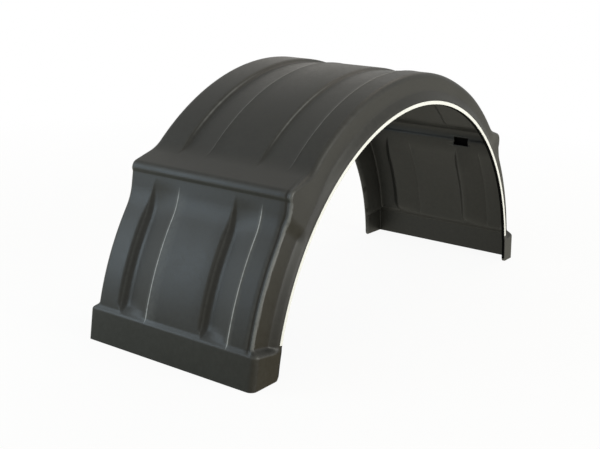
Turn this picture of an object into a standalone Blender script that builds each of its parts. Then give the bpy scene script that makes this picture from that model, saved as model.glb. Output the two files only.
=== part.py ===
# Trailer mudguard: a half-round moulded shell on two box feet, with a white edge trim on its outer rim.
# Metres, +Z up. The front end is at -X, the outer side of the vehicle at -Y, the feet stand on z = 0.
import math

import bmesh
import bpy

# Overall size
LENGTH = 1.280
WIDTH = 0.4668
WALL = 0.0045

# Panels below the ledges: one circle, seen from the side, whose centre lies a little under the floor
FOOT_OUT = 0.006
PANEL_R = LENGTH / 2 - FOOT_OUT
PANEL_Z = -0.0480
MIDDLE_X = -0.0045

# Arch above the ledges: a slightly smaller circle with a higher centre, lower on its two outer bands
ARCH_IN = 0.0107
ARCH_R = PANEL_R - ARCH_IN
ARCH_Z = -0.0250
BAND_STEP = 0.0030

# Ledges above the panels: a sloping top leaves the arch and ends in a raised edge over the riser
FRONT = {
    "start": math.radians(46.0), "ledge": 0.0841, "slope": 0.34, "round": 0.010, "edge": 0.0150,
    "groove": 0.0355, "arch_flare": 0.0, "flare": 0.0085, "flare_above": math.radians(7.0),
}
REAR = {
    "start": math.radians(44.2), "ledge": 0.0593, "slope": 0.30, "round": 0.022, "edge": 0.0285,
    "groove": 0.0580, "arch_flare": 0.0042, "flare": 0.0012, "flare_above": 0.0,
}
LEDGE_FILLET = 0.010
EDGE_UNDER = 0.60
EDGE_ROUND = 0.0025
RISER_BACK = 0.0030
RISER_LEAN = 0.13
PANEL_FILLET = 0.014

# Feet: height, lean of the face, slope of the shelf on top and its rounded edges
FOOT_HEIGHT = 0.074
FOOT_LEAN = 0.115
SHELF_SLOPE = 0.85
SHELF_ROUND = 0.004
FOOT_CORNER_R = 0.015
FAR_CORNER_R = 0.006
HEEL_R = 0.016
HEEL_TURN = 0.8

# Side walls and shoulders, with the flare of the outer side next to a ledge
SIDE_INSET = 0.0145
SHOULDER_R = 0.0120
PANEL_SHOULDER_R = 0.0085
FLARE_FROM = math.radians(72.0)
FLARE_FULL = math.radians(60.0)
FLARE_HOLD = 0.042
FLARE_END = 0.088

# Lips that run out to the two rims, and the return at the outer rim
LIP_CLEAR = 0.006
RIM_X = 0.0121
RIM_STEP = 0.0012
RIM_DROP = 0.0573
RIM_R = ARCH_R - RIM_DROP
RIM_FLAT = 0.0118
RIM_RETURN = 0.0075
LIP_HIGH = 0.0310
INNER_RIM_DROP = 0.0823
INNER_RIM_R = ARCH_R - INNER_RIM_DROP
INNER_LIP_HIGH = 0.0710

# Grooves: foot of the short wall and crest of the long ramp, each on the arch and on the panels
GROOVES = (
    {"foot": (0.130, 0.143), "wall": 0.0180, "crest": (0.0586, 0.0730)},
    {"foot": (-0.086, -0.088), "wall": 0.0155, "crest": (-0.1630, -0.1545)},
)
WALL_LEAST = 0.1
WALL_ENDS = (0.1, 0.88)
GROOVE_ROUND = 0.004
ARCH_GROOVE = 0.0060
PANEL_GROOVE = 0.0140
RISER_GROOVE = 0.0050
GROOVE_RUN = 1 / 3

# Pocket pressed into the rear riser, open to the wheel side
POCKET_Y = -0.102
POCKET_DOWN = 0.0358
POCKET_WIDE = 0.044
POCKET_TALL = 0.021
POCKET_DEEP = 0.0125
POCKET_WALL = 0.0035
POCKET_LAP = 0.0015
POCKET_REACH = 0.012

# Edge trim: a flat strip on the face of the outer rim, set back from its edge
TRIM_GAP = 0.0003
TRIM_IN = 0.0015
TRIM_WIDE = 0.0085

# Steps of the loft
ARCH_STEP = math.radians(5.0)
PANEL_STEP = math.radians(3.2)
BEND = math.radians(1.0)
START_STATIONS = (2.5, 1.2, 0.4, -0.4, -1.2, -2.6)
CORNER_STATIONS = (1.0, 0.5, 0.12, -0.25)
EDGE_STATIONS = (0.12, -0.12, -0.36)
GROOVE_STATIONS = (0.1, -0.5, -1.1)
BEND_STATIONS = (0.9, 0.3, -0.3)
DEEP_STATIONS = (0.1, -0.6, -1.4)
SHELF_STATIONS = (1.7, 1.25, 1.0, 0.85, 0.55, 0.25, 0.05, -0.2)
FOOT_STATIONS = (0.6, 0.3)
HEEL_STATIONS = (0.7, 0.35, 0.1, 0.0)
ROUND_POINTS = 5
BELOW = 0.004
BLEND_TOP = FOOT_HEIGHT + 0.026


def smooth_max(a, b, k):
    """Larger of two distances, with a fillet where they meet."""
    h = max(k - abs(a - b), 0.0) / k
    return max(a, b) + h * h * k / 4


def smooth_min(a, b, k):
    """Smaller of two distances, with a rounding where they meet."""
    return -smooth_max(-a, -b, k)


def ease(value, first, last):
    """Share from 0 at the first value to 1 at the last, level at both ends."""
    f = min(max((value - first) / (last - first), 0.0), 1.0)
    return f * f * (3.0 - 2.0 * f)


def between(pair, share):
    return pair[0] + (pair[1] - pair[0]) * share


def shelf_share(f):
    """Share of the foot in the side wall, f counted up the side shelf, rounded at both edges."""
    soft = SHELF_ROUND / (SHELF_SLOPE * SIDE_INSET)
    return smooth_max(0.0, smooth_min(1.0, 1.0 - f, soft), soft)


def spread(first, last, step):
    """Evenly spaced values after first, up to last, about a step apart."""
    count = max(1, round(abs(first - last) / step))
    return [first + (last - first) * i / count for i in range(1, count + 1)]


def thin_out(values, least):
    """The values from high to low, without those that lie closer together than the least step."""
    kept = []
    for value in sorted(values, reverse=True):
        if not kept or kept[-1] - value >= least:
            kept.append(value)
    return kept


def circle_hit(ray, x, z, radius):
    """Distance along the ray to the far side of a circle."""
    ox, oz, c, s = ray
    b = (ox - x) * c + (oz - z) * s
    q = (ox - x) ** 2 + (oz - z) ** 2 - radius ** 2
    return -b + math.sqrt(b * b - q)


def line_hit(ray, x, z, slope):
    """Distance along the ray to the line through (x, z) that falls by slope per metre outwards."""
    ox, oz, c, s = ray
    return (z - oz - slope * (ox - x)) / (s + slope * c)


def wall_hit(ray, x, lean):
    """Distance along the ray to a wall that stands at x on the floor and leans inwards."""
    ox, oz, c, s = ray
    return (x - lean * oz - ox) / (c + lean * s)


class End:
    """One half of the mudguard, seen with its own end on the positive side."""

    def __init__(self, sign, form):
        low_band = ARCH_R - BAND_STEP
        start = form["start"]
        self.sign = sign
        self.form = form
        self.slope = form["slope"]
        self.middle_x = MIDDLE_X * sign
        self.rim_x = RIM_X * sign
        self.start_x = self.middle_x + low_band * math.cos(start)
        self.start_z = ARCH_Z + low_band * math.sin(start)
        self.riser = self.start_x + form["ledge"]
        self.corner_z = self.start_z - form["slope"] * form["ledge"]
        self.edge_z = self.corner_z - form["edge"]
        self.groove_z = self.corner_z - form["groove"]
        self.foot_x = LENGTH / 2
        self.shelf_x = self.foot_x - FOOT_LEAN * FOOT_HEIGHT
        self.start = self.angle(self.start_x, self.start_z)
        self.corner = self.angle(self.riser, self.corner_z)
        reach = self.riser - self.middle_x
        self.bend = math.acos(reach / PANEL_R)
        self.deep = math.acos(reach / (PANEL_R - PANEL_GROOVE + RISER_GROOVE))

    def angle(self, x, z):
        return math.atan2(z - PANEL_Z, x - self.middle_x)

    def radial(self, angle):
        """Ray out of the middle of the panels' circle."""
        return self.middle_x, PANEL_Z, math.cos(angle), math.sin(angle)

    def level(self, height):
        """Ray that meets the face of the foot at a height and turns level towards the floor."""
        run = self.shelf_x - self.middle_x
        slope = (height - PANEL_Z) / run * min(1.0, max(0.0, height) / BLEND_TOP)
        n = math.hypot(1.0, slope)
        return self.middle_x, height - slope * run, 1.0 / n, slope / n

    def stations(self):
        """Rays from the top of the arch to just below the floor, with the share of the foot in each."""
        edge = self.angle(self.riser, self.edge_z)
        groove = self.angle(self.riser, self.groove_z)
        low = self.angle(self.shelf_x, BLEND_TOP)
        angles = spread(math.pi / 2, self.start + START_STATIONS[0] * BEND, ARCH_STEP)
        angles += [self.start + f * BEND for f in START_STATIONS[1:]]
        angles += [self.corner + f * BEND for f in CORNER_STATIONS]
        angles += [edge + f * BEND for f in EDGE_STATIONS]
        angles += [groove + f * BEND for f in GROOVE_STATIONS]
        angles += [self.bend + f * BEND for f in BEND_STATIONS]
        angles += [self.deep + f * BEND for f in DEEP_STATIONS]
        angles += spread(angles[-1], low, PANEL_STEP)
        rays = [(self.radial(a), 0.0) for a in thin_out(angles, BEND / 5)]
        rise = SHELF_SLOPE * SIDE_INSET
        rays += [(self.level(FOOT_HEIGHT + f * rise), shelf_share(f)) for f in SHELF_STATIONS]
        rays += [(self.level(f * FOOT_HEIGHT), 1.0) for f in FOOT_STATIONS]
        rays += [(self.level(f * HEEL_R), 1.0) for f in HEEL_STATIONS]
        rays.append((self.level(-BELOW), 1.0))
        return rays

    def riser_face(self, ray, cut):
        """Distance to the raised edge and to the riser below it, which a groove cuts back."""
        wall = wall_hit(ray, self.riser, 0.0)
        under = wall_hit(ray, self.riser - EDGE_UNDER * self.edge_z, -EDGE_UNDER)
        foot_x = self.riser - RISER_BACK + RISER_LEAN * self.edge_z
        lower = wall_hit(ray, foot_x, RISER_LEAN) - cut
        return smooth_max(smooth_min(wall, under, EDGE_ROUND), lower, EDGE_ROUND)

    def outline(self, ray, arch_cut, panel_cut, riser_cut):
        """Distance to the outer face, with the arch, the panel and the riser cut back."""
        top = line_hit(ray, self.start_x, self.start_z, self.slope)
        ledge = smooth_min(top, self.riser_face(ray, riser_cut), self.form["round"])
        if math.atan2(ray[3], ray[2]) > self.corner:
            arc = circle_hit(ray, self.middle_x, ARCH_Z, ARCH_R - arch_cut)
            return smooth_max(arc, ledge, LEDGE_FILLET)
        arc = circle_hit(ray, self.middle_x, PANEL_Z, PANEL_R - panel_cut)
        shelf = line_hit(ray, self.shelf_x, FOOT_HEIGHT, SHELF_SLOPE)
        foot = smooth_min(shelf, wall_hit(ray, self.foot_x, FOOT_LEAN), SHELF_ROUND)
        return smooth_max(smooth_max(arc, ledge, PANEL_FILLET), foot, SHELF_ROUND)

    def faces(self, ray):
        """Distances to the inner band, to the two lower bands and to the bottom of the grooves."""
        high = self.outline(ray, 0.0, 0.0, 0.0)
        band = self.outline(ray, BAND_STEP, 0.0, 0.0)
        cut = self.outline(ray, BAND_STEP + ARCH_GROOVE, PANEL_GROOVE, RISER_GROOVE)
        if math.atan2(ray[3], ray[2]) < self.corner:
            down = max(self.groove_z - (ray[1] + band * ray[3]), 0.0)
            cut = max(cut, band - GROOVE_RUN * down)
        return high, band, cut

    def place(self, ray, distance, y):
        ox, oz, c, s = ray
        return (ox + distance * c) * self.sign, y, oz + distance * s

    def rim(self, ray, radius):
        return circle_hit(ray, self.rim_x, PANEL_Z, radius)

    def heel(self, ray):
        """How far the back edge of the side plate draws in at the floor."""
        height = ray[1] + (self.shelf_x - ray[0]) * ray[3] / ray[2]
        low = HEEL_R * HEEL_TURN - max(height, 0.0)
        rise = math.sqrt(HEEL_R ** 2 - max(low, 0.0) ** 2)
        return HEEL_R - rise + max(-height, 0.0) * low / rise

    def flare(self, angle):
        """How far the outer side wall stands out next to the ledge."""
        arch = self.form["arch_flare"] * ease(angle, FLARE_FROM, FLARE_FULL)
        low = ease(angle, self.start + self.form["flare_above"], self.corner)
        hold = self.angle(self.riser, self.corner_z - FLARE_HOLD)
        end = self.angle(self.riser, self.corner_z - FLARE_END)
        return between((arch, self.form["flare"]), low) * ease(angle, end, hold)

    def side(self, ray, share, sign, out):
        """Points of one side wall from its rim to its shoulder, as distance along the ray and y."""
        outer = sign < 0
        angle = math.atan2(ray[3], ray[2])
        half = WIDTH / 2
        wall = half - SIDE_INSET * (1.0 - share)
        edge = half
        shoulder = between((PANEL_SHOULDER_R, SHOULDER_R), ease(angle, self.corner, self.start))
        corner = between((shoulder, FOOT_CORNER_R if outer else FAR_CORNER_R), share)
        heel = self.heel(ray)
        if outer:
            wall += self.flare(angle)
            edge -= RIM_STEP * (1.0 - share)
            end = self.rim(ray, RIM_R) + heel
            points = [(end, edge - RIM_RETURN), (end, edge), (self.rim(ray, RIM_R + RIM_FLAT) + heel, edge)]
            lip = self.rim(ray, RIM_R + LIP_HIGH)
        else:
            points = [(self.rim(ray, INNER_RIM_R) + heel, edge)]
            lip = self.rim(ray, INNER_RIM_R + INNER_LIP_HIGH)
        points.append((min(lip + heel, out - corner - LIP_CLEAR), wall))
        for i in range(ROUND_POINTS):
            turn = math.pi / 2 * i / (ROUND_POINTS - 1)
            points.append((out - corner * (1 - math.sin(turn)), wall - corner * (1 - math.cos(turn))))
        return [(d, sign * y) for d, y in points]

    def section(self, ray, share):
        """One cross-section from the outer rim at -Y to the inner rim at +Y."""
        high, band, cut = self.faces(ray)
        low = ease(math.atan2(ray[3], ray[2]), self.start, self.bend)
        points = self.side(ray, share, -1, band)
        for groove, top in zip(reversed(GROOVES), (band, high)):
            foot = between(groove["foot"], low)
            depth = min((band - cut) / PANEL_GROOVE, 1.0)
            room = groove["wall"] - GROOVE_ROUND
            head = foot + GROOVE_ROUND + room * between((WALL_LEAST, 1.0), depth)
            points.append((band, between(groove["crest"], low)))
            points.append((cut, foot - GROOVE_ROUND / 2))
            points.append((between((cut, top), WALL_ENDS[0]), foot + GROOVE_ROUND / 2))
            points.append((between((cut, top), WALL_ENDS[1]), head - GROOVE_ROUND / 2))
            points.append((top, head + GROOVE_ROUND))
        points.extend(reversed(self.side(ray, share, 1, high)))
        return [self.place(ray, d, y) for d, y in points]


def clear_scene():
    for ob in list(bpy.data.objects):
        bpy.data.objects.remove(ob, do_unlink=True)
    for me in list(bpy.data.meshes):
        bpy.data.meshes.remove(me)


def add_object(name, bm):
    mesh = bpy.data.meshes.new(name)
    bm.to_mesh(mesh)
    bm.free()
    ob = bpy.data.objects.new(name, mesh)
    bpy.context.scene.collection.objects.link(ob)
    return ob


def activate(ob):
    bpy.ops.object.select_all(action="DESELECT")
    ob.select_set(True)
    bpy.context.view_layer.objects.active = ob


def material(ob, name, colour, rough):
    mat = bpy.data.materials.new(name)
    mat.use_nodes = True
    shader = mat.node_tree.nodes["Principled BSDF"]
    shader.inputs["Base Color"].default_value = (*colour, 1.0)
    shader.inputs["Roughness"].default_value = rough
    ob.data.materials.clear()
    ob.data.materials.append(mat)


def finish(ob, degrees):
    for poly in ob.data.polygons:
        poly.use_smooth = True
    ob.data.set_sharp_from_angle(angle=math.radians(degrees))


def box_object(name, centre, size):
    bm = bmesh.new()
    bmesh.ops.create_cube(bm, size=1.0)
    bmesh.ops.scale(bm, vec=size, verts=bm.verts)
    bmesh.ops.translate(bm, vec=centre, verts=bm.verts)
    ob = add_object(name, bm)
    ob.hide_render = True
    ob.display_type = "WIRE"
    return ob


def combine(ob, other, operation):
    mod = ob.modifiers.new(operation.title(), "BOOLEAN")
    mod.operation = operation
    mod.solver = "EXACT"
    mod.object = other
    activate(ob)
    bpy.ops.object.modifier_apply(modifier=mod.name)
    bpy.data.objects.remove(other, do_unlink=True)


def loft(sections):
    """Open surface through the cross-sections, facing outwards."""
    bm = bmesh.new()
    rows = [[bm.verts.new(p) for p in row] for row in sections]
    for a, b in zip(rows, rows[1:]):
        for i in range(len(a) - 1):
            bm.faces.new((a[i], b[i], b[i + 1], a[i + 1]))
    return bm


def both_ends():
    return End(-1, FRONT), End(1, REAR)


def build_shell():
    front, rear = both_ends()
    sections = [front.section(*s) for s in reversed(front.stations())]
    sections.append(rear.section(rear.radial(math.pi / 2), 0.0))
    sections.extend(rear.section(*s) for s in rear.stations())
    shell = add_object("mudguard_shell", loft(sections))
    solid = shell.modifiers.new("Wall", "SOLIDIFY")
    solid.thickness = WALL
    solid.offset = -1.0
    solid.use_even_offset = True
    activate(shell)
    bpy.ops.object.modifier_apply(modifier=solid.name)
    floor = (LENGTH * 1.2, WIDTH * 1.2, 4 * BELOW)
    combine(shell, box_object("floor_cut", (0.0, 0.0, -2 * BELOW), floor), "DIFFERENCE")
    add_pocket(shell, rear)
    return shell


def add_pocket(shell, end):
    """Blind pocket in the riser: a boss outside, then the hollow cut from inside."""
    z = end.corner_z - POCKET_DOWN
    inner = end.riser - RISER_BACK + RISER_LEAN * (end.edge_z - z) - WALL
    back = inner + POCKET_DEEP
    lo = inner + POCKET_LAP
    hi = back + POCKET_WALL
    size = (hi - lo, POCKET_WIDE + 2 * POCKET_WALL, POCKET_TALL + 2 * POCKET_WALL)
    combine(shell, box_object("pocket_boss", ((lo + hi) / 2, POCKET_Y, z), size), "UNION")
    lo = inner - POCKET_REACH
    size = (back - lo, POCKET_WIDE, POCKET_TALL)
    combine(shell, box_object("pocket_hollow", ((lo + back) / 2, POCKET_Y, z), size), "DIFFERENCE")


def trim_section():
    """Section of the strip on the face of the outer rim, as y and radius."""
    face = -WIDTH / 2
    back = face + RIM_STEP - TRIM_GAP
    low = RIM_R + TRIM_IN
    return (face, low + TRIM_WIDE), (face, low), (back, low), (back, low + TRIM_WIDE)


def trim_rings(end):
    """The strip's cross-sections on one half, from the top of the arch down to its end above the foot."""
    rings = []
    for ray, share in end.stations():
        if share == 0.0:
            rings.append([end.place(ray, end.rim(ray, r), y) for y, r in trim_section()])
    return rings


def build_trim():
    front, rear = both_ends()
    rings = list(reversed(trim_rings(front)))
    top = rear.radial(math.pi / 2)
    rings.append([rear.place(top, rear.rim(top, r), y) for y, r in trim_section()])
    rings.extend(trim_rings(rear))
    bm = loft([ring + ring[:1] for ring in rings])
    bmesh.ops.remove_doubles(bm, verts=bm.verts, dist=TRIM_GAP / 10)
    bmesh.ops.holes_fill(bm, edges=[e for e in bm.edges if e.is_boundary])
    bmesh.ops.recalc_face_normals(bm, faces=bm.faces)
    return add_object("edge_trim", bm)


def main():
    clear_scene()
    shell = build_shell()
    material(shell, "charcoal_plastic", (0.045, 0.045, 0.043), 0.48)
    finish(shell, 32.0)
    trim = build_trim()
    material(trim, "white_trim_plastic", (0.86, 0.86, 0.84), 0.38)
    finish(trim, 32.0)


main()
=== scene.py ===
import math

import bmesh
import bpy
import numpy as np
from mathutils import Matrix, Vector


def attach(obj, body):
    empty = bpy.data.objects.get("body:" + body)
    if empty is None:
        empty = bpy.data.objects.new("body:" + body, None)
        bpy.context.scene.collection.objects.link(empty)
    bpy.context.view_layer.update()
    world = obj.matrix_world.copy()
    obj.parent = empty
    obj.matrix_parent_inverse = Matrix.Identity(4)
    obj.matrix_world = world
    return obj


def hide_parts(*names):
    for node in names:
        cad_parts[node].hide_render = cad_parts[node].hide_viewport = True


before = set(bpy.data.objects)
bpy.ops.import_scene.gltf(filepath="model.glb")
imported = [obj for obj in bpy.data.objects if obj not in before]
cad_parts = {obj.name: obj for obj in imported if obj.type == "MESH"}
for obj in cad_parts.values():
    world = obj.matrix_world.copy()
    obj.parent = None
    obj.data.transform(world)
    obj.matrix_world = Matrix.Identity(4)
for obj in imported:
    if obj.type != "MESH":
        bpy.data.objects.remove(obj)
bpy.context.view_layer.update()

# Overall size, the same as in the part's source
LENGTH = 1.280
WIDTH = 0.4668
WALL = 0.0045

# Circle of the panels, circle of the arch and the step between its bands
PANEL_INSET = 0.006
PANEL_R = LENGTH / 2 - PANEL_INSET
PANEL_Z = -0.0480
MIDDLE_X = -0.0045
ARCH_INSET = 0.0107
ARCH_R = PANEL_R - ARCH_INSET
ARCH_Z = -0.0250
BAND_STEP = 0.0030

# Ledges above the panels, with the drop from each corner to its edge and groove, and the side wall's flare
FRONT = {
    "start": math.radians(46.0), "ledge": 0.0841, "slope": 0.34, "round": 0.016,
    "edge": 0.0150, "groove": 0.0355,
    "arch_flare": 0.0, "flare": 0.0085, "flare_above": math.radians(7.0),
}
REAR = {
    "start": math.radians(44.2), "ledge": 0.0593, "slope": 0.30, "round": 0.022,
    "edge": 0.0285, "groove": 0.0580,
    "arch_flare": 0.0042, "flare": 0.0012, "flare_above": 0.0,
}
LEDGE_FILLET = 0.010
EDGE_UNDER = 0.60
EDGE_ROUND = 0.0045
RISER_BACK = 0.0030
RISER_LEAN = 0.13
PANEL_FILLET = 0.014

# Feet
FOOT_HEIGHT = 0.074
FOOT_LEAN = 0.115
SHELF_SLOPE = 0.85
SHELF_ROUND = 0.004
FOOT_CORNER_R = 0.015
FAR_CORNER_R = 0.006
HEEL_R = 0.016
HEEL_TURN = 0.8

# Side walls, lips and rims
SIDE_INSET = 0.0145
SHOULDER_R = 0.0120
PANEL_SHOULDER_R = 0.0085
BEAD_SHOULDER_R = 0.0050
FLARE_FROM = math.radians(72.0)
FLARE_FULL = math.radians(60.0)
FLARE_HOLD = 0.042
FLARE_END = 0.088
LIP_CLEAR = 0.006
LIP_BEND = 0.08
CREASE_NEAR = 0.2
CREASE_LEFT = 0.02
CREASE_FAR = 1.2
RIM_X = 0.0121
RIM_STEP = 0.0012
RIM_DEPTH = 0.0573
RIM_R = ARCH_R - RIM_DEPTH
RIM_FLAT = 0.0118
RIM_RETURN = 0.0075
LIP_HIGH = 0.0310
INNER_RIM_DEPTH = 0.0823
INNER_RIM_R = ARCH_R - INNER_RIM_DEPTH
INNER_LIP_HIGH = 0.0710
SHOULDER_CLEAR = 0.004
BANDS_HALF = WIDTH / 2 - SIDE_INSET - SHOULDER_R - SHOULDER_CLEAR

# Grooves: foot and width of the short wall and crest of the ramp, on the arch and on the panels
GROOVES = (
    {"foot": (0.130, 0.143), "wall": 0.0180, "crest": (0.0586, 0.0730)},
    {"foot": (-0.086, -0.088), "wall": 0.0155, "crest": (-0.1630, -0.1545)},
)
WALL_LEAST = 0.1
GROOVE_ROUND = 0.004
GROOVE_SOFT = 0.42
GROOVE_HEAD_SOFT = 0.30
GROOVE_TOP_SOFT = 0.012
ARCH_GROOVE = 0.0060
PANEL_GROOVE = 0.0140
RISER_GROOVE = 0.0050
GROOVE_RUN = 1 / 3

# Pocket and strip
POCKET_Y = -0.102
POCKET_DOWN = 0.0358
POCKET_WIDE = 0.044
POCKET_TALL = 0.021
POCKET_DEEP = 0.0125
POCKET_WALL = 0.0035
POCKET_LAP = 0.0015
POCKET_REACH = 0.012
TRIM_GAP = 0.0003
TRIM_IN = 0.0015
TRIM_WIDE = 0.0085
FOOT_SHARE_LEAST = 0.0001

# Fine bevels and the angle up to which the faces are shaded smooth
SHELL_BEVEL = 0.0007
SHELL_BEVEL_FROM = 55
TRIM_BEVEL = 0.0003
TRIM_BEVEL_FROM = 50
BEVEL_SEGMENTS = 2
SMOOTH_UNDER = 40

# Surface detail that the solids leave out: ridges on the crests and a furrow beside the outer shoulder
RIDGE_HIGH = 0.0007
RIDGE_HALF = 0.0018
FURROW_IN = 0.0065
FURROW_HALF = 0.0065
FURROW_CLEAR = 0.001
FURROW_DEEP = 0.0026

# Painted highlight lines on the crests, on the heads of the groove walls and along the outer shoulder:
# widths, places, strengths on the arch and on the panels, and where they fade out
BEAD_HALF = 0.0027
BEAD_AT = 0.45
BEAD_TOP_FADE = (math.radians(1.0), math.radians(-2.0))
BEAD_LOW_FADE = (0.0, 0.020)
CREST_HALF = 0.0013
CREST_ARCH = 0.14
CREST_ARCH_FADE = (math.radians(2.0), math.radians(12.0))
CREST_LOW_FADE = (-0.004, 0.012)
HEAD_AT = (0.35, 0.62)
HEAD_PANEL = 0.07
HEAD_ARCH = 0.30
HEAD_FADE = math.radians(80.0)
HEAD_FULL = math.radians(62.0)
LEDGE_CLEAR = 0.030
OUTWARD_LEAST = 0.3
WEAR_AND_HIGHLIGHT_SPREAD = 0.006

# Painted shade in the hollows: how far past their walls points still count, and how far inside its mouth the
# pocket's begins
RETURN_MARGIN = 0.002
RIM_MARGIN = 0.0006
POCKET_MARGIN = 0.0004
POCKET_MOUTH = 0.0012

# How finely the shell is divided, and how far it first runs below the floor
BEND = math.radians(1.0)
NEXT_LEAST = 0.02
STEP_SLACK = 0.01
BELOW = 0.004
BLEND_RISE = 0.026
BLEND_TOP = FOOT_HEIGHT + BLEND_RISE
BLEND_STEP = 0.004
SHELF_STEP = 0.0012
SHELF_ABOVE = 1.3
SHELF_BELOW = 0.4
FOOT_STEP = 0.013
HEEL_STEPS = (0.8, 0.6, 0.45, 0.3, 0.2, 0.1, 0.04, 0.0)
LIP_STEPS = (0.3, 0.65, 0.92)
WALL_STEPS = (0.25, 0.5, 0.75, 0.93)
SHOULDER_PARTS = 7
FURROW_PARTS = 8
RIDGE_FOOT = 1.1
RIDGE_STEPS = (-0.7, -0.35, 0.0, 0.35, 0.7, RIDGE_FOOT)
BAND_PARTS = 5
LAST_BAND_PARTS = 4
RAMP_PARTS = 6
GROOVE_FINE = 0.024
GROOVE_PARTS = 9
HEAD_PAST = 0.004
HEAD_PARTS = 2

# Lengths that count as none
WELD = 0.00002
NEARLY_ZERO = 1e-6

# Colours of the shell and the strip
SHELL_DARK = (0.0160, 0.0158, 0.0140)
SHELL_LIGHT = (0.0222, 0.0218, 0.0190)
SPECK_DARK = (0.85, 0.85, 0.85)
SPECK_LIGHT = (1.12, 1.12, 1.12)
# Pale tone of convex edges: partly rubbed wear, partly painted highlight
RUBBED_AND_HIGHLIGHT = (0.10, 0.10, 0.095)
# Painted highlight along the crests of the ramps and the heads of the groove walls
CREST_HIGHLIGHT_TONE = (0.44, 0.45, 0.45)
# Painted highlight along the middle of the outer shoulder's rounding
SHOULDER_HIGHLIGHT_TONE = (0.16, 0.165, 0.165)
# Painted shade, near black, on the return behind the outer rim and inside the pocket
PAINTED_SHADE_TONE = (0.004, 0.004, 0.004)
STRIP_DULL = (0.74, 0.74, 0.72)
STRIP_BRIGHT = (0.81, 0.81, 0.79)
STRIP_DUST = (0.97, 0.97, 0.96)
WHITE = (1.0, 1.0, 1.0)

# Pale edges, partly rubbed wear and partly painted highlight: how far an edge stands out before it turns
# pale, how pale that gets, and how broken the pale lines and the painted highlight lines are
WEAR_AND_HIGHLIGHT_SHOWN = (0.15, 0.9)
RUB_AND_HIGHLIGHT_MOST = 0.6
LINE_BROKEN = (0.6, 1.0)

# Roughness and shine of the shell and the strip
SHELL_ROUGH = (0.40, 0.50)
SPECK_ROUGH = (-0.03, 0.03)
RUB_POLISH = 0.10
PAINTED_SHADE_ROUGH = 0.3
SHELL_SHINE = 0.36
PAINTED_SHADE_SHINE = 0.02
STRIP_ROUGH = (0.33, 0.45)

# Noise in the plastics by scale, detail and roughness
SHELL_CLOUDS = (5.0, 4.0, 0.55)
SHELL_SPECKS = (90.0, 3.0, 0.6)
SHELL_WAVES = (9.0, 2.0, 0.4)
SHELL_GRAIN = (750.0, 2.0, 0.6)
STRIP_CLOUDS = (14.0, 3.0, 0.5)
STRIP_SPECKS = (260.0, 2.0, 0.6)

# Bumps by strength and height
WAVE_BUMP = (0.35, 0.0030)
GRAIN_BUMP = (0.30, 0.0004)
STRIP_BUMP = (0.2, 0.0002)

# Floor: its own colour, its share of plain white to the camera, and what glossy rays see of it, with painted
# shade near the object
FLOOR_HALF = 8.0
FLOOR_Z = -0.0005
FLOOR_COLOUR = (0.82, 0.81, 0.76)
FLOOR_ROUGH = 0.9
FLOOR_GLOW = 0.93
FLOOR_CLEAR = (1.0, 3.0)
# Painted shade in reflections: glossy rays see the floor at this share near the object, rising to full away
# from it
FLOOR_MIRRORED = 0.78
FLOOR_MIRROR_CLEAR = (0.8, 3.0)
FLOOR_TINT = (1.0, 0.97, 0.84)
# Painted shade in reflections: brown beside the outer side
FLOOR_WARM_SHADE = (0.42, 0.32, 0.14)
FLOOR_WARM_Y = (-1.60, -0.45)
FLOOR_WARM_X = (-0.1, 0.4)
# Painted shade in reflections: duller before the front foot
FLOOR_DULL_SHADE = (0.48, 0.52, 0.43)
FLOOR_DULL_X = (-1.50, -0.80)
FLOOR_BLEND = 0.02

# World: dim and slightly warm, white to the camera, and part of the way to white to glossy rays
WORLD_COLOUR = (1.0, 1.0, 0.92)
WORLD_STRENGTH = 0.55
WORLD_MIRRORED = 0.4

# Lamps by name, place, size, power and colour, all pointing at LIT_MIDDLE
LIT_MIDDLE = (0.0, 0.0, 0.25)
BROAD = (1.6, 1.6)
LAMPS = (
    # On the outer side
    ("outer_side", (0.0, -3.4, 1.4), BROAD, 58.0, (1.0, 1.0, 0.90)),
    ("outer_low", (0.6, -3.4, 0.35), (1.6, 0.6), 20.0, (0.97, 0.95, 1.0)),
    # Cool, to the left of the view
    ("far_left", (-2.4, 2.4, 1.8), (1.6, 2.6), 25.0, (0.80, 0.93, 1.0)),
    ("close_left", (-1.3, 0.7, 0.55), (0.5, 0.5), 3.0, (0.66, 0.84, 1.0)),
    # Warm, towards the rear
    ("above_rear", (1.9, 0.0, 2.9), BROAD, 11.0, (1.0, 0.86, 0.72)),
    ("far_right", (2.4, 2.4, 1.6), BROAD, 2.5, (1.0, 0.88, 0.76)),
)

# Camera at the photograph's place
CAMERA_AT = Vector((-2.0962, -1.3431, 0.8443))
YAW = math.radians(34.721)
PITCH = math.radians(-14.946)
ROLL = math.radians(2.202)
FOCAL_PIXELS = 991.28
PHOTO_WIDE = 600.0
SENSOR = 36.0
CLIP_END = 50.0


def smooth_max(a, b, k):
    h = max(k - abs(a - b), 0.0) / k
    return max(a, b) + h * h * k / 4


def smooth_min(a, b, k):
    return -smooth_max(-a, -b, k)


def ease(value, first, last):
    f = min(max((value - first) / (last - first), 0.0), 1.0)
    return f * f * (3.0 - 2.0 * f)


def ease_near(value, place, fade):
    """Ease over a stretch whose two ends are measured from a place."""
    return ease(value, place + fade[0], place + fade[1])


def between(pair, share):
    return pair[0] + (pair[1] - pair[0]) * share


def shelf_share(rise_share):
    """Share of the foot's full width, from 0 above the sloping shelf to 1 below it."""
    soft = SHELF_ROUND / (SHELF_SLOPE * SIDE_INSET)
    return smooth_max(0.0, smooth_min(1.0, 1.0 - rise_share, soft), soft)


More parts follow.
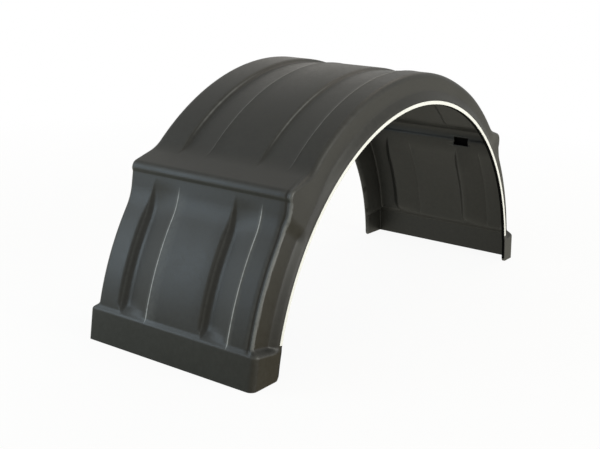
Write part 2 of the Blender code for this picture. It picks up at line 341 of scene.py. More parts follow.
def circle_hit(ray, x, z, radius):
    """Distance along a ray to a circle. A ray is its origin x and z and its direction's x and z."""
    ox, oz, c, s = ray
    b = (ox - x) * c + (oz - z) * s
    q = (ox - x) ** 2 + (oz - z) ** 2 - radius ** 2
    return -b + math.sqrt(b * b - q)


def line_hit(ray, x, z, slope):
    """Distance along a ray to a line through x and z that falls by slope."""
    ox, oz, c, s = ray
    return (z - oz - slope * (ox - x)) / (s + slope * c)


def wall_hit(ray, x, lean):
    """Distance along a ray to a wall that stands at x on the floor and leans in by lean."""
    ox, oz, c, s = ray
    return (x - lean * oz - ox) / (c + lean * s)


def parts(a, b, n):
    """The n values after a, up to b."""
    return [a + (b - a) * i / n for i in range(1, n + 1)]


def span(a, b, step):
    """Values after a up to b, about step apart."""
    return parts(a, b, max(1, math.ceil(abs(b - a) / step - STEP_SLACK)))


class Groove:
    """One groove as it lies across the width at one ray."""

    def __init__(self, size, low, depth):
        room = size["wall"] - GROOVE_ROUND
        self.foot = between(size["foot"], low)
        self.head = self.foot + GROOVE_ROUND + room * between((WALL_LEAST, 1.0), depth)
        self.crest = between(size["crest"], low)

    def share(self, y):
        """Depth from 0 on the bands to 1 at the foot of the wall."""
        up = (y - self.crest) / (self.foot - self.crest)
        down = (self.head - y) / (self.head - self.foot)
        cut = smooth_min(up, down, GROOVE_SOFT) / (1.0 - GROOVE_SOFT / 4)
        if y > (self.foot + self.head) / 2:
            cut = smooth_max(cut, 0.0, GROOVE_HEAD_SOFT)
        return min(max(cut, 0.0), 1.0)

    def places(self, low):
        """Places across the width from low to just past the wall's head."""
        ys = parts(low, self.crest - RIDGE_FOOT * RIDGE_HALF, BAND_PARTS)
        ys += [self.crest + RIDGE_HALF * f for f in RIDGE_STEPS]
        ys += parts(ys[-1], self.foot - GROOVE_FINE, RAMP_PARTS)
        ys += parts(ys[-1], self.foot, GROOVE_PARTS)
        ys += parts(ys[-1], self.head, GROOVE_PARTS)
        return ys + parts(ys[-1], self.head + HEAD_PAST, HEAD_PARTS)


class End:
    """One half of the mudguard, seen with its own end on the positive side."""

    def __init__(self, sign, form):
        low_band = ARCH_R - BAND_STEP
        start = form["start"]
        self.sign = sign
        self.form = form
        self.slope = form["slope"]
        self.middle_x = MIDDLE_X * sign
        self.rim_x = RIM_X * sign
        self.start_x = self.middle_x + low_band * math.cos(start)
        self.start_z = ARCH_Z + low_band * math.sin(start)
        self.riser = self.start_x + form["ledge"]
        self.corner_z = self.start_z - form["slope"] * form["ledge"]
        self.edge_z = self.corner_z - form["edge"]
        self.groove_z = self.corner_z - form["groove"]
        self.foot_x = LENGTH / 2
        self.shelf_x = self.foot_x - FOOT_LEAN * FOOT_HEIGHT
        self.start = self.angle(self.start_x, self.start_z)
        self.corner = self.angle(self.riser, self.corner_z)
        reach = self.riser - self.middle_x
        self.bend = math.acos(reach / PANEL_R)
        self.deep = math.acos(reach / (PANEL_R - PANEL_GROOVE + RISER_GROOVE))

    def angle(self, x, z):
        return math.atan2(z - PANEL_Z, x - self.middle_x)

    def radial(self, angle):
        """Ray from the middle of the panels' circle."""
        return self.middle_x, PANEL_Z, math.cos(angle), math.sin(angle)

    def level(self, height):
        """Ray that meets the shelf's front at a height, radial at the blend's top and level at the floor."""
        run = self.shelf_x - self.middle_x
        slope = (height - PANEL_Z) / run * min(1.0, max(0.0, height) / BLEND_TOP)
        n = math.hypot(1.0, slope)
        return self.middle_x, height - slope * run, 1.0 / n, slope / n

    def stations(self):
        """Rays from the top of the arch to just below the floor, each with its share of the foot's width."""
        edge = self.angle(self.riser, self.edge_z)
        groove = self.angle(self.riser, self.groove_z)
        low = self.angle(self.shelf_x, BLEND_TOP)
        # Each mark is an angle and the step down to it in bends, short where the outline turns
        marks = (
            (self.start + 2.5 * BEND, 1.5),
            (self.start - 2.6 * BEND, 0.45),
            (self.corner + 1.9 * BEND, 0.6),
            (self.corner + 0.1 * BEND, 0.20),
            (self.corner - BEND, 0.12),
            (edge + 0.3 * BEND, 0.30),
            (edge - 0.35 * BEND, 0.10),
            (groove + 0.3 * BEND, 0.55),
            (groove - 1.3 * BEND, 0.25),
            (self.bend + BEND, 0.6),
            (self.deep - 1.5 * BEND, 0.25),
            (low, 1.3),
        )
        angles = []
        last = math.pi / 2
        for mark, step in marks:
            if mark < last - NEXT_LEAST * BEND:
                angles += span(last, mark, step * BEND)
                last = mark
        rays = [(self.radial(a), 0.0) for a in angles]
        rise = SHELF_SLOPE * SIDE_INSET
        heights = span(BLEND_TOP, FOOT_HEIGHT + SHELF_ABOVE * rise, BLEND_STEP)
        heights += span(heights[-1], FOOT_HEIGHT - SHELF_BELOW * rise, SHELF_STEP)
        heights += span(heights[-1], HEEL_R, FOOT_STEP)
        heights += [HEEL_R * f for f in HEEL_STEPS] + [-BELOW]
        return rays + [(self.level(h), shelf_share((h - FOOT_HEIGHT) / rise)) for h in heights]

    def riser_face(self, ray, cut):
        """Distance to the riser: its edge, the slope under it and the leaning lower part."""
        wall = wall_hit(ray, self.riser, 0.0)
        under = wall_hit(ray, self.riser - EDGE_UNDER * self.edge_z, -EDGE_UNDER)
        foot_x = self.riser - RISER_BACK + RISER_LEAN * self.edge_z
        lower = wall_hit(ray, foot_x, RISER_LEAN) - cut
        return smooth_max(smooth_min(wall, under, EDGE_ROUND), lower, EDGE_ROUND)

    def outline(self, ray, arch_cut, panel_cut, riser_cut):
        """Distance to the outside of the shell, less the depths cut from arch, panel and riser."""
        top = line_hit(ray, self.start_x, self.start_z, self.slope)
        ledge = smooth_min(top, self.riser_face(ray, riser_cut), self.form["round"])
        if math.atan2(ray[3], ray[2]) > self.corner:
            arc = circle_hit(ray, self.middle_x, ARCH_Z, ARCH_R - arch_cut)
            return smooth_max(arc, ledge, LEDGE_FILLET)
        arc = circle_hit(ray, self.middle_x, PANEL_Z, PANEL_R - panel_cut)
        shelf = line_hit(ray, self.shelf_x, FOOT_HEIGHT, SHELF_SLOPE)
        foot = smooth_min(shelf, wall_hit(ray, self.foot_x, FOOT_LEAN), SHELF_ROUND)
        return smooth_max(smooth_max(arc, ledge, PANEL_FILLET), foot, SHELF_ROUND)

    def place(self, ray, distance, y):
        ox, oz, c, s = ray
        return (ox + distance * c) * self.sign, y, oz + distance * s

    def rim(self, ray, radius):
        return circle_hit(ray, self.rim_x, PANEL_Z, radius)

    def heel(self, ray):
        """How far the rims turn outward near the floor, which rounds the lower corners of the side walls."""
        height = ray[1] + (self.shelf_x - ray[0]) * ray[3] / ray[2]
        low = HEEL_R * HEEL_TURN - max(height, 0.0)
        rise = math.sqrt(HEEL_R ** 2 - max(low, 0.0) ** 2)
        return HEEL_R - rise + max(-height, 0.0) * low / rise

    def flare(self, angle):
        """How far the outer side wall stands out."""
        arch = self.form["arch_flare"] * ease(angle, FLARE_FROM, FLARE_FULL)
        low = ease(angle, self.start + self.form["flare_above"], self.corner)
        hold = self.angle(self.riser, self.corner_z - FLARE_HOLD)
        end = self.angle(self.riser, self.corner_z - FLARE_END)
        return between((arch, self.form["flare"]), low) * ease(angle, end, hold)

    def side(self, ray, share, sign, out):
        """Points of one side from its rim over its shoulder, as distance along the ray and y."""
        outer = sign < 0
        angle = math.atan2(ray[3], ray[2])
        wall = WIDTH / 2 - SIDE_INSET * (1.0 - share)
        edge = WIDTH / 2
        low_radius = BEAD_SHOULDER_R if outer else PANEL_SHOULDER_R
        shoulder = between((low_radius, SHOULDER_R), ease(angle, self.corner, self.start))
        corner = between((shoulder, FOOT_CORNER_R if outer else FAR_CORNER_R), share)
        heel = self.heel(ray)
        if outer:
            wall += self.flare(angle)
            edge -= RIM_STEP * (1.0 - share)
            end = self.rim(ray, RIM_R) + heel
            flat = self.rim(ray, RIM_R + RIM_FLAT) + heel
            points = [(end, edge - RIM_RETURN), (end, edge), ((end + flat) / 2, edge), (flat, edge)]
            lip = self.rim(ray, RIM_R + LIP_HIGH)
        else:
            points = [(self.rim(ray, INNER_RIM_R) + heel, edge)]
            lip = self.rim(ray, INNER_RIM_R + INNER_LIP_HIGH)
        crease = min(lip + heel, out - corner - LIP_CLEAR)
        points += self.lip_and_wall(points[-1], crease, wall, out - corner)
        for i in range(SHOULDER_PARTS + 1):
            turn = math.pi / 2 * i / SHOULDER_PARTS
            points.append((out - corner * (1 - math.sin(turn)), wall - corner * (1 - math.cos(turn))))
        if outer:
            points += self.furrow(angle, share, out, wall - corner)
        return [(d, sign * y) for d, y in points]

    def lip_and_wall(self, rim, crease, wall, top):
        """Points of the sloping lip above the rim, of its soft crease and of the wall up to the shoulder."""
        d0, y0 = rim
        points = [(d0 + (crease - d0) * f, y0 + (wall - y0) * f) for f in LIP_STEPS]
        soft = min(LIP_BEND * (crease - d0), LIP_CLEAR / 3)
        points.append((crease + CREASE_NEAR * soft, wall + CREASE_LEFT * (y0 - wall)))
        flat = crease + CREASE_FAR * soft
        points.append((flat, wall))
        return points + [(between((flat, top), f), wall) for f in WALL_STEPS]

    def furrow(self, angle, share, out, edge):
        """Points of the shallow hollow that runs down the panel just inside the outer shoulder."""
        deep = FURROW_DEEP * ease(angle, self.start, self.bend) * (1.0 - min(max(share, 0.0), 1.0))
        room = edge - BANDS_HALF
        scale = min(1.0, room / (FURROW_IN + FURROW_HALF + FURROW_CLEAR))
        points = []
        for i in range(1, FURROW_PARTS + 1):
            inset = (FURROW_IN + FURROW_HALF) * scale * i / FURROW_PARTS
            off = min(1.0, abs(inset / scale - FURROW_IN) / FURROW_HALF)
            points.append((out - deep * (1.0 - off * off) ** 2, edge - inset))
        return points

    def across(self, ray):
        """Points between the shoulders, as distance along the ray and y, and the height of both bands."""
        angle = math.atan2(ray[3], ray[2])
        high = self.outline(ray, 0.0, 0.0, 0.0)
        band = self.outline(ray, BAND_STEP, 0.0, 0.0)
        cut = self.outline(ray, BAND_STEP + ARCH_GROOVE, PANEL_GROOVE, RISER_GROOVE)
        if angle < self.corner:
            down = smooth_max(self.groove_z - (ray[1] + band * ray[3]), 0.0, GROOVE_TOP_SOFT)
            cut = smooth_max(cut, band - GROOVE_RUN * down, GROOVE_TOP_SOFT / 2)
            cut = min(cut, band)
        low = ease(angle, self.start, self.bend)
        depth = min((band - cut) / PANEL_GROOVE, 1.0)
        ridge = RIDGE_HIGH * min(1.0, (band - cut) / ARCH_GROOVE)
        points = []
        last = -BANDS_HALF
        for size, top in zip(reversed(GROOVES), (band, high)):
            groove = Groove(size, low, depth)
            for y in groove.places(last):
                base = band + (top - band) * ease(y, groove.foot - GROOVE_ROUND, groove.head)
                d = base - (base - cut) * groove.share(y)
                off = min(1.0, abs(y - groove.crest) / RIDGE_HALF)
                points.append((d + ridge * (1.0 - off * off) ** 2, y))
            last = points[-1][1]
        points += [(high, y) for y in parts(last, BANDS_HALF, LAST_BAND_PARTS)]
        return points, band, high

    def section(self, ray, share):
        """One cross-section from the outer rim at -Y to the inner rim at +Y."""
        points, band, high = self.across(ray)
        row = self.side(ray, share, -1, band) + points + list(reversed(self.side(ray, share, 1, high)))
        return [self.place(ray, d, y) for d, y in row]


front = End(-1, FRONT)
rear = End(1, REAR)


def mesh_object(name, bm):
    mesh = bpy.data.meshes.new(name)
    bm.to_mesh(mesh)
    bm.free()
    ob = bpy.data.objects.new(name, mesh)
    bpy.context.scene.collection.objects.link(ob)
    return ob


def loft(sections):
    bm = bmesh.new()
    rows = [[bm.verts.new(p) for p in row] for row in sections]
    for a, b in zip(rows, rows[1:]):
        for i in range(len(a) - 1):
            bm.faces.new((a[i], b[i], b[i + 1], a[i + 1]))
    return bm


def apply_all(ob):
    bpy.ops.object.select_all(action="DESELECT")
    ob.select_set(True)
    bpy.context.view_layer.objects.active = ob
    for mod in list(ob.modifiers):
        bpy.ops.object.modifier_apply(modifier=mod.name)


def box_object(name, lo, hi):
    bm = bmesh.new()
    bmesh.ops.create_cube(bm, size=1.0)
    for v in bm.verts:
        v.co = Vector([lo[i] + (hi[i] - lo[i]) * (v.co[i] + 0.5) for i in range(3)])
    return mesh_object(name, bm)


def combine(ob, other, operation):
    mod = ob.modifiers.new(operation.title(), "BOOLEAN")
    mod.operation = operation
    mod.solver = "EXACT"
    mod.object = other
    apply_all(ob)
    bpy.data.objects.remove(other, do_unlink=True)


def bevel(ob, width, degrees):
    mod = ob.modifiers.new("Bevel", "BEVEL")
    mod.width = width
    mod.segments = BEVEL_SEGMENTS
    mod.limit_method = "ANGLE"
    mod.angle_limit = math.radians(degrees)
    apply_all(ob)


def smooth(ob):
    for poly in ob.data.polygons:
        poly.use_smooth = True
    ob.data.set_sharp_from_angle(angle=math.radians(SMOOTH_UNDER))


def close_floor(ob):
    """Cuts the shell off at the floor and closes the cut."""
    bm = bmesh.new()
    bm.from_mesh(ob.data)
    geom = bm.verts[:] + bm.edges[:] + bm.faces[:]
    cut = bmesh.ops.bisect_plane(
        bm, geom=geom, dist=NEARLY_ZERO, plane_co=(0, 0, 0), plane_no=(0, 0, -1), clear_outer=True)
    edges = [e for e in cut["geom_cut"] if isinstance(e, bmesh.types.BMEdge) and e.is_boundary]
    bmesh.ops.holes_fill(bm, edges=edges)
    bm.to_mesh(ob.data)
    bm.free()


def pocket_place():
    """Height of the pocket's middle and the x of the riser's inside there."""
    z = rear.corner_z - POCKET_DOWN
    return z, rear.riser - RISER_BACK + RISER_LEAN * (rear.edge_z - z) - WALL


def add_pocket(shell):
    """Blind pocket in the rear riser, with its boss outside."""
    z, inner = pocket_place()
    back = inner + POCKET_DEEP
    wide = POCKET_WIDE / 2
    tall = POCKET_TALL / 2
    grow = POCKET_WALL
    boss = box_object(
        "pocket_boss",
        (inner + POCKET_LAP, POCKET_Y - wide - grow, z - tall - grow),
        (back + grow, POCKET_Y + wide + grow, z + tall + grow))
    combine(shell, boss, "UNION")
    hollow = box_object(
        "pocket_hollow",
        (inner - POCKET_REACH, POCKET_Y - wide, z - tall),
        (back, POCKET_Y + wide, z + tall))
    combine(shell, hollow, "DIFFERENCE")


def build_shell():
    """The moulded shell: a loft over both halves with one wall thickness, cut off at the floor."""
    sections = [front.section(r, s) for r, s in reversed(front.stations())]
    sections.append(rear.section(rear.radial(math.pi / 2), 0.0))
    sections.extend(rear.section(r, s) for r, s in rear.stations())
    shell = mesh_object("guard_shell", loft(sections))
    solid = shell.modifiers.new("Wall", "SOLIDIFY")
    solid.thickness = WALL
    solid.offset = -1.0
    solid.use_even_offset = True
    apply_all(shell)
    close_floor(shell)
    add_pocket(shell)
    bevel(shell, SHELL_BEVEL, SHELL_BEVEL_FROM)
    smooth(shell)
    return shell


def build_trim():
    """Flat white strip on the face of the outer rim, down to the top of the feet."""
    face = -WIDTH / 2
    back = face + RIM_STEP - TRIM_GAP
    low = RIM_R + TRIM_IN
    shape = [(face, low + TRIM_WIDE), (face, low), (back, low), (back, low + TRIM_WIDE)]

    def ring(end, ray):
        return [end.place(ray, end.rim(ray, radius), y) for y, radius in shape]

    rows = [ring(front, r) for r, s in reversed(front.stations()) if s <= FOOT_SHARE_LEAST]
    rows.append(ring(rear, rear.radial(math.pi / 2)))
    rows += [ring(rear, r) for r, s in rear.stations() if s <= FOOT_SHARE_LEAST]
    bm = loft([row + row[:1] for row in rows])
    bmesh.ops.remove_doubles(bm, verts=bm.verts, dist=WELD)
    bmesh.ops.holes_fill(bm, edges=[e for e in bm.edges if e.is_boundary])
    bmesh.ops.recalc_face_normals(bm, faces=bm.faces)
    trim = mesh_object("rim_strip", bm)
    bevel(trim, TRIM_BEVEL, TRIM_BEVEL_FROM)
    smooth(trim)
    return trim


def add_values(ob, name, values):
    att = ob.data.attributes.new(name, "FLOAT", "POINT")
    att.data.foreach_set("value", values)


def read_rows(items, name, kind=float, wide=3):
    """One array row per mesh item."""
    values = np.empty(len(items) * wide, kind)
    items.foreach_get(name, values)
    return values.reshape(-1, wide)


def mark_edges(ob):
    """Writes how far each point stands out from its neighbours as the float attribute wear_and_highlight,
    which pales convex edges as partly rubbed wear and partly painted highlight.
    """
    places = read_rows(ob.data.vertices, "co")
    normals = read_rows(ob.data.vertex_normals, "vector")
    first, second = read_rows(ob.data.edges, "vertices", np.int64, 2).T
    along = places[first] - places[second]
    length = np.maximum(np.linalg.norm(along, axis=1), NEARLY_ZERO)
    turn = np.einsum("ij,ij->i", normals[first] - normals[second], along) / length ** 2
    total = np.zeros(len(places))
    count = np.zeros(len(places))
    for ends in (first, second):
        np.add.at(total, ends, turn)
        np.add.at(count, ends, 1)
    add_values(ob, "wear_and_highlight", np.clip(total / np.maximum(count, 1) * WEAR_AND_HIGHLIGHT_SPREAD, -1.0, 1.0))


def line_value(y, middle, half):
    """1 in the middle of a line across y, falling off softly to both sides."""
    return math.exp(-((y - middle) / half) ** 2)


def crest_highlight_value(end, angle, y, z):
    """How close an outer point is to the top edge of a ramp or of a groove's wall, from 0 to 1, as the
    strength of the painted highlight there.
    """
    low = ease(angle, end.start, end.bend)
    upper = end.angle(end.riser, end.corner_z - LEDGE_CLEAR)
    on_panel = ease(angle, upper, end.bend) * ease_near(z, FOOT_HEIGHT, CREST_LOW_FADE)
    on_arch = ease_near(angle, end.start, CREST_ARCH_FADE)
    lit = ease(angle, HEAD_FADE, HEAD_FULL) * HEAD_ARCH
    value = 0.0
    for size in GROOVES:
        crest = between(size["crest"], low)
        head = between(size["foot"], low) + between(HEAD_AT, on_panel) * size["wall"]
        value = max(value, line_value(y, crest, CREST_HALF) * max(on_panel, CREST_ARCH * on_arch))
        value = max(value, line_value(y, head, CREST_HALF) * max(HEAD_PANEL * on_panel, lit * on_arch))
    return value


def shoulder_highlight_value(end, angle, y, z, distance):
    """How close a point is to the middle of the outer shoulder's rounding below the ledge, as the strength
    of the painted highlight there.
    """
    half = WIDTH / 2 - SIDE_INSET + end.flare(angle) - BEAD_SHOULDER_R * BEAD_AT
    out = end.outline(end.radial(angle), BAND_STEP, 0.0, 0.0)
    if z < 0.0 or distance < out - BEAD_SHOULDER_R:
        return 0.0
    fade = ease_near(angle, end.corner, BEAD_TOP_FADE) * ease_near(z, FOOT_HEIGHT, BEAD_LOW_FADE)
    return line_value(y, -half, BEAD_HALF) * fade


def painted_shade_value(x, y, z):
    """Painted shade: 1 on the return behind the outer rim and inside the pocket, 0 elsewhere."""
    from_middle = math.hypot(x - RIM_X, z - PANEL_Z)
    behind = y < RIM_STEP + RIM_RETURN + RETURN_MARGIN - WIDTH / 2
    if behind and from_middle < RIM_R + RIM_MARGIN and z > RETURN_MARGIN:
        return 1.0
    middle, inner = pocket_place()
    tall = abs(z - middle) < POCKET_TALL / 2 + POCKET_MARGIN
    wide = abs(y - POCKET_Y) < POCKET_WIDE / 2 + POCKET_MARGIN
    deep = inner + POCKET_MOUTH < x < inner + POCKET_DEEP + POCKET_MARGIN
    return 1.0 if tall and wide and deep else 0.0


def mark_lines(ob):
    """Writes the point attributes crest, shoulder_highlight and painted_shade, which the material reads as
    painted highlight lines and painted shade.
    """
    normals = ob.data.vertex_normals
    crest = []
    shoulder_highlight = []
    painted_shade = []
    for v in ob.data.vertices:
        x, y, z = v.co
        end = front if x < MIDDLE_X else rear
        across = x * end.sign - end.middle_x
        angle = math.atan2(z - PANEL_Z, across)
        distance = math.hypot(across, z - PANEL_Z)
        n = normals[v.index].vector
        outward = (n.x * end.sign * across + n.z * (z - PANEL_Z)) / distance
        crest.append(crest_highlight_value(end, angle, y, z) if outward > OUTWARD_LEAST else 0.0)
        shoulder_highlight.append(shoulder_highlight_value(end, angle, y, z, distance) if outward > 0.0 else 0.0)
        painted_shade.append(painted_shade_value(x, y, z))
    add_values(ob, "crest", crest)
    add_values(ob, "shoulder_highlight", shoulder_highlight)
    add_values(ob, "painted_shade", painted_shade)


def nodes_of(name):
    mat = bpy.data.materials.new(name)
    mat.use_nodes = True
    nt = mat.node_tree
    return mat, nt, nt.nodes["Principled BSDF"]


def noise(nt, coord, look):
    node = nt.nodes.new("ShaderNodeTexNoise")
    for name, value in zip(("Scale", "Detail", "Roughness"), look):
        node.inputs[name].default_value = value
    nt.links.new(coord, node.inputs["Vector"])
    return node.outputs["Fac"]


def ramp(nt, fac, first, last):
    """Colour ramp between two stops, each a position and a colour."""
    node = nt.nodes.new("ShaderNodeValToRGB")
    for element, (position, colour) in zip(node.color_ramp.elements, (first, last)):
        element.position = position
        element.color = (*colour, 1.0)
    nt.links.new(fac, node.inputs["Fac"])
    return node.outputs["Color"]


def map_range(nt, value, source, target):
    node = nt.nodes.new("ShaderNodeMapRange")
    names = ("From Min", "From Max", "To Min", "To Max")
    for name, limit in zip(names, (*source, *target)):
        node.inputs[name].default_value = limit
    nt.links.new(value, node.inputs["Value"])
    return node.outputs[0]


def math_node(nt, op, a, b):
    node = nt.nodes.new("ShaderNodeMath")
    node.operation = op
    for i, v in enumerate((a, b)):
        if isinstance(v, (int, float)):
            node.inputs[i].default_value = v
        else:
            nt.links.new(v, node.inputs[i])
    return node.outputs[0]


def bump(nt, height, look, normal=None):
    node = nt.nodes.new("ShaderNodeBump")
    for name, value in zip(("Strength", "Distance"), look):
        node.inputs[name].default_value = value
    nt.links.new(height, node.inputs["Height"])
    if normal is not None:
        nt.links.new(normal, node.inputs["Normal"])
    return node.outputs["Normal"]


def mix_colour(nt, fac, a, b, blend="MIX"):
    node = nt.nodes.new("ShaderNodeMix")
    node.data_type = "RGBA"
    node.blend_type = blend
    for key, v in ((0, fac), (6, a), (7, b)):
        if isinstance(v, (int, float)):
            node.inputs[key].default_value = v
        elif isinstance(v, tuple):
            node.inputs[key].default_value = (*v, 1.0)
        else:
            nt.links.new(v, node.inputs[key])
    return node.outputs[2]


def mix_shader(nt, fac, first, second, output):
    node = nt.nodes.new("ShaderNodeMixShader")
    for i, value in enumerate((fac, first, second)):
        nt.links.new(value, node.inputs[i])
    nt.links.new(node.outputs[0], nt.nodes[output].inputs["Surface"])


def value_of(nt, name):
    node = nt.nodes.new("ShaderNodeAttribute")
    node.attribute_name = name
    return node.outputs["Fac"]


def object_place(nt):
    return nt.nodes.new("ShaderNodeTexCoord").outputs["Object"]


def straight_rays(nt, path):
    """1 for rays from the camera and through clear things, 0 for all others."""
    return math_node(nt, "MAXIMUM", path.outputs["Is Camera Ray"], path.outputs["Is Transmission Ray"])


def shell_material():
    """Charcoal plastic with fine moulded grain, pale edges that are partly rubbed wear and partly painted
    highlight, painted highlight lines and painted shade in the hollows.
    """
    mat, nt, shader = nodes_of("moulded_charcoal")
    coord = object_place(nt)
    cloudy = noise(nt, coord, SHELL_CLOUDS)
    fine = noise(nt, coord, SHELL_SPECKS)
    base = ramp(nt, cloudy, (0.30, SHELL_DARK), (0.70, SHELL_LIGHT))
    speck = ramp(nt, fine, (0.35, SPECK_DARK), (0.65, SPECK_LIGHT))
    colour = mix_colour(nt, 1.0, base, speck, "MULTIPLY")
    broken = map_range(nt, fine, (0.3, 0.6), LINE_BROKEN)
    # Convex edges turn pale, partly as rubbed wear and partly as painted highlight
    rub_and_highlight = map_range(nt, value_of(nt, "wear_and_highlight"), WEAR_AND_HIGHLIGHT_SHOWN, (0.0, RUB_AND_HIGHLIGHT_MOST))
    painted_shade = value_of(nt, "painted_shade")
    # Painted highlight lines on the crests and along the outer shoulder, broken by specks
    pale_edges_and_highlights = ((rub_and_highlight, RUBBED_AND_HIGHLIGHT), (value_of(nt, "crest"), CREST_HIGHLIGHT_TONE), (value_of(nt, "shoulder_highlight"), SHOULDER_HIGHLIGHT_TONE))
    for amount, tone in pale_edges_and_highlights:
        colour = mix_colour(nt, math_node(nt, "MULTIPLY", amount, broken), colour, tone)
    # Painted shade: near black on the return behind the outer rim and inside the pocket
    colour = mix_colour(nt, painted_shade, colour, PAINTED_SHADE_TONE)
    nt.links.new(colour, shader.inputs["Base Color"])
    rough = map_range(nt, cloudy, (0.25, 0.75), SHELL_ROUGH)
    rough = math_node(nt, "ADD", rough, map_range(nt, fine, (0.3, 0.7), SPECK_ROUGH))
    rough = math_node(nt, "SUBTRACT", rough, math_node(nt, "MULTIPLY", rub_and_highlight, RUB_POLISH))
    rough = math_node(nt, "ADD", rough, math_node(nt, "MULTIPLY", painted_shade, PAINTED_SHADE_ROUGH))
    nt.links.new(rough, shader.inputs["Roughness"])
    shine = map_range(nt, painted_shade, (0.0, 1.0), (SHELL_SHINE, PAINTED_SHADE_SHINE))
    nt.links.new(shine, shader.inputs["Specular IOR Level"])
    wave = bump(nt, noise(nt, coord, SHELL_WAVES), WAVE_BUMP)
    grain = bump(nt, noise(nt, coord, SHELL_GRAIN), GRAIN_BUMP, wave)
    nt.links.new(grain, shader.inputs["Normal"])
    return mat


def trim_material():
    """White plastic with faint clouding and dust."""
    mat, nt, shader = nodes_of("white_strip")
    coord = object_place(nt)
    cloudy = noise(nt, coord, STRIP_CLOUDS)
    fine = noise(nt, coord, STRIP_SPECKS)
    base = ramp(nt, cloudy, (0.3, STRIP_DULL), (0.7, STRIP_BRIGHT))
    dust = ramp(nt, fine, (0.3, STRIP_DUST), (0.6, WHITE))
    nt.links.new(mix_colour(nt, 1.0, base, dust, "MULTIPLY"), shader.inputs["Base Color"])
    nt.links.new(map_range(nt, cloudy, (0.3, 0.7), STRIP_ROUGH), shader.inputs["Roughness"])
    nt.links.new(bump(nt, fine, STRIP_BUMP), shader.inputs["Normal"])
    return mat


def mirrored_tint(nt, place):
    """Floor's colour in reflections: pale, with painted shade that makes it duller before the front foot and
    brown beside the outer side.
    """
    split = nt.nodes.new("ShaderNodeSeparateXYZ")
    nt.links.new(place, split.inputs[0])
    x = split.outputs["X"]
    y = split.outputs["Y"]
    outside = map_range(nt, y, (-WIDTH / 2, FLOOR_BLEND - WIDTH / 2), (1.0, 0.0))
    beside = math_node(nt, "MULTIPLY", map_range(nt, y, FLOOR_WARM_Y, (0.0, 1.0)), outside)
    beside = math_node(nt, "MULTIPLY", beside, map_range(nt, x, FLOOR_WARM_X, (1.0, 0.0)))
    ahead = map_range(nt, x, (-LENGTH / 2, FLOOR_BLEND - LENGTH / 2), (1.0, 0.0))
    before = math_node(nt, "MULTIPLY", map_range(nt, x, FLOOR_DULL_X, (0.0, 1.0)), ahead)
    return mix_colour(nt, beside, mix_colour(nt, before, FLOOR_TINT, FLOOR_DULL_SHADE), FLOOR_WARM_SHADE)


def floor_material():
    """Pale floor: nearly white to the camera, whiter with distance, pale and tinted to glossy rays, which
    also see painted shade that darkens it near the object.
    """
    mat, nt, shader = nodes_of("pale_floor")
    shader.inputs["Base Color"].default_value = (*FLOOR_COLOUR, 1.0)
    shader.inputs["Roughness"].default_value = FLOOR_ROUGH
    path = nt.nodes.new("ShaderNodeLightPath")
    glossy = path.outputs["Is Glossy Ray"]
    place = object_place(nt)
    away = nt.nodes.new("ShaderNodeVectorMath")
    away.operation = "LENGTH"
    nt.links.new(place, away.inputs[0])
    clear = map_range(nt, away.outputs["Value"], FLOOR_CLEAR, (FLOOR_GLOW, 1.0))
    # Painted shade: glossy rays see the floor darker near the object
    mirrored = map_range(nt, away.outputs["Value"], FLOOR_MIRROR_CLEAR, (FLOOR_MIRRORED, 1.0))
    seen = math_node(nt, "MULTIPLY", straight_rays(nt, path), clear)
    part = math_node(nt, "MAXIMUM", seen, math_node(nt, "MULTIPLY", glossy, mirrored))
    glow = nt.nodes.new("ShaderNodeEmission")
    glow.inputs["Strength"].default_value = 1.0
    nt.links.new(mix_colour(nt, glossy, WHITE, mirrored_tint(nt, place)), glow.inputs["Color"])
    mix_shader(nt, part, shader.outputs[0], glow.outputs[0], "Material Output")
    return mat


def build_floor():
    bm = bmesh.new()
    bmesh.ops.create_grid(bm, x_segments=2, y_segments=2, size=FLOOR_HALF)
    ob = mesh_object("floor", bm)
    ob.location = (0.0, 0.0, FLOOR_Z)
    return ob


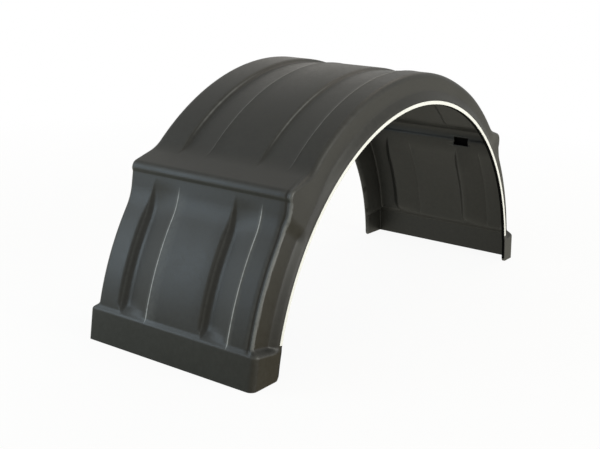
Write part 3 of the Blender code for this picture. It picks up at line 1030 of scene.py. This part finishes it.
def light_world():
    world = bpy.data.worlds.new("surround")
    world.use_nodes = True
    bpy.context.scene.world = world
    nt = world.node_tree
    back = nt.nodes["Background"]
    back.inputs["Color"].default_value = (*WORLD_COLOUR, 1.0)
    back.inputs["Strength"].default_value = WORLD_STRENGTH
    white = nt.nodes.new("ShaderNodeBackground")
    white.inputs["Color"].default_value = (*WHITE, 1.0)
    white.inputs["Strength"].default_value = 1.0
    path = nt.nodes.new("ShaderNodeLightPath")
    mirrored = math_node(nt, "MULTIPLY", path.outputs["Is Glossy Ray"], WORLD_MIRRORED)
    part = math_node(nt, "MAXIMUM", straight_rays(nt, path), mirrored)
    mix_shader(nt, part, back.outputs[0], white.outputs[0], "World Output")


def add_lamp(name, place, size, power, colour):
    light = bpy.data.lights.new(name, "AREA")
    light.shape = "RECTANGLE"
    light.size, light.size_y = size
    light.energy = power
    light.color = colour
    ob = bpy.data.objects.new(name, light)
    ob.location = place
    ob.rotation_euler = (Vector(LIT_MIDDLE) - Vector(place)).to_track_quat("-Z", "Y").to_euler()
    bpy.context.scene.collection.objects.link(ob)


def place_camera():
    view = Vector((math.cos(PITCH) * math.cos(YAW), math.cos(PITCH) * math.sin(YAW), math.sin(PITCH)))
    level = Vector((math.sin(YAW), -math.cos(YAW), 0.0))
    upright = level.cross(view)
    right = math.cos(ROLL) * level + math.sin(ROLL) * upright
    up = -math.sin(ROLL) * level + math.cos(ROLL) * upright
    cam = bpy.data.cameras.new("camera")
    cam.sensor_width = SENSOR
    cam.lens = FOCAL_PIXELS * SENSOR / PHOTO_WIDE
    cam.clip_end = CLIP_END
    ob = bpy.data.objects.new("camera", cam)
    turned = Matrix((right, up, -view)).transposed()
    ob.matrix_world = Matrix.Translation(CAMERA_AT) @ turned.to_4x4()
    bpy.context.scene.collection.objects.link(ob)
    bpy.context.scene.camera = ob


place_camera()

# The shell
shell = build_shell()
mark_edges(shell)
mark_lines(shell)
shell.data.materials.clear()
shell.data.materials.append(shell_material())
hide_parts("mudguard_shell")
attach(shell, "root")

# The white strip
trim = build_trim()
trim.data.materials.clear()
trim.data.materials.append(trim_material())
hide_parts("edge_trim")
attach(trim, "root")

# The surroundings
floor = build_floor()
floor.data.materials.append(floor_material())
light_world()
for lamp in LAMPS:
    add_lamp(*lamp)
bpy.context.scene.view_settings.view_transform = "Standard"
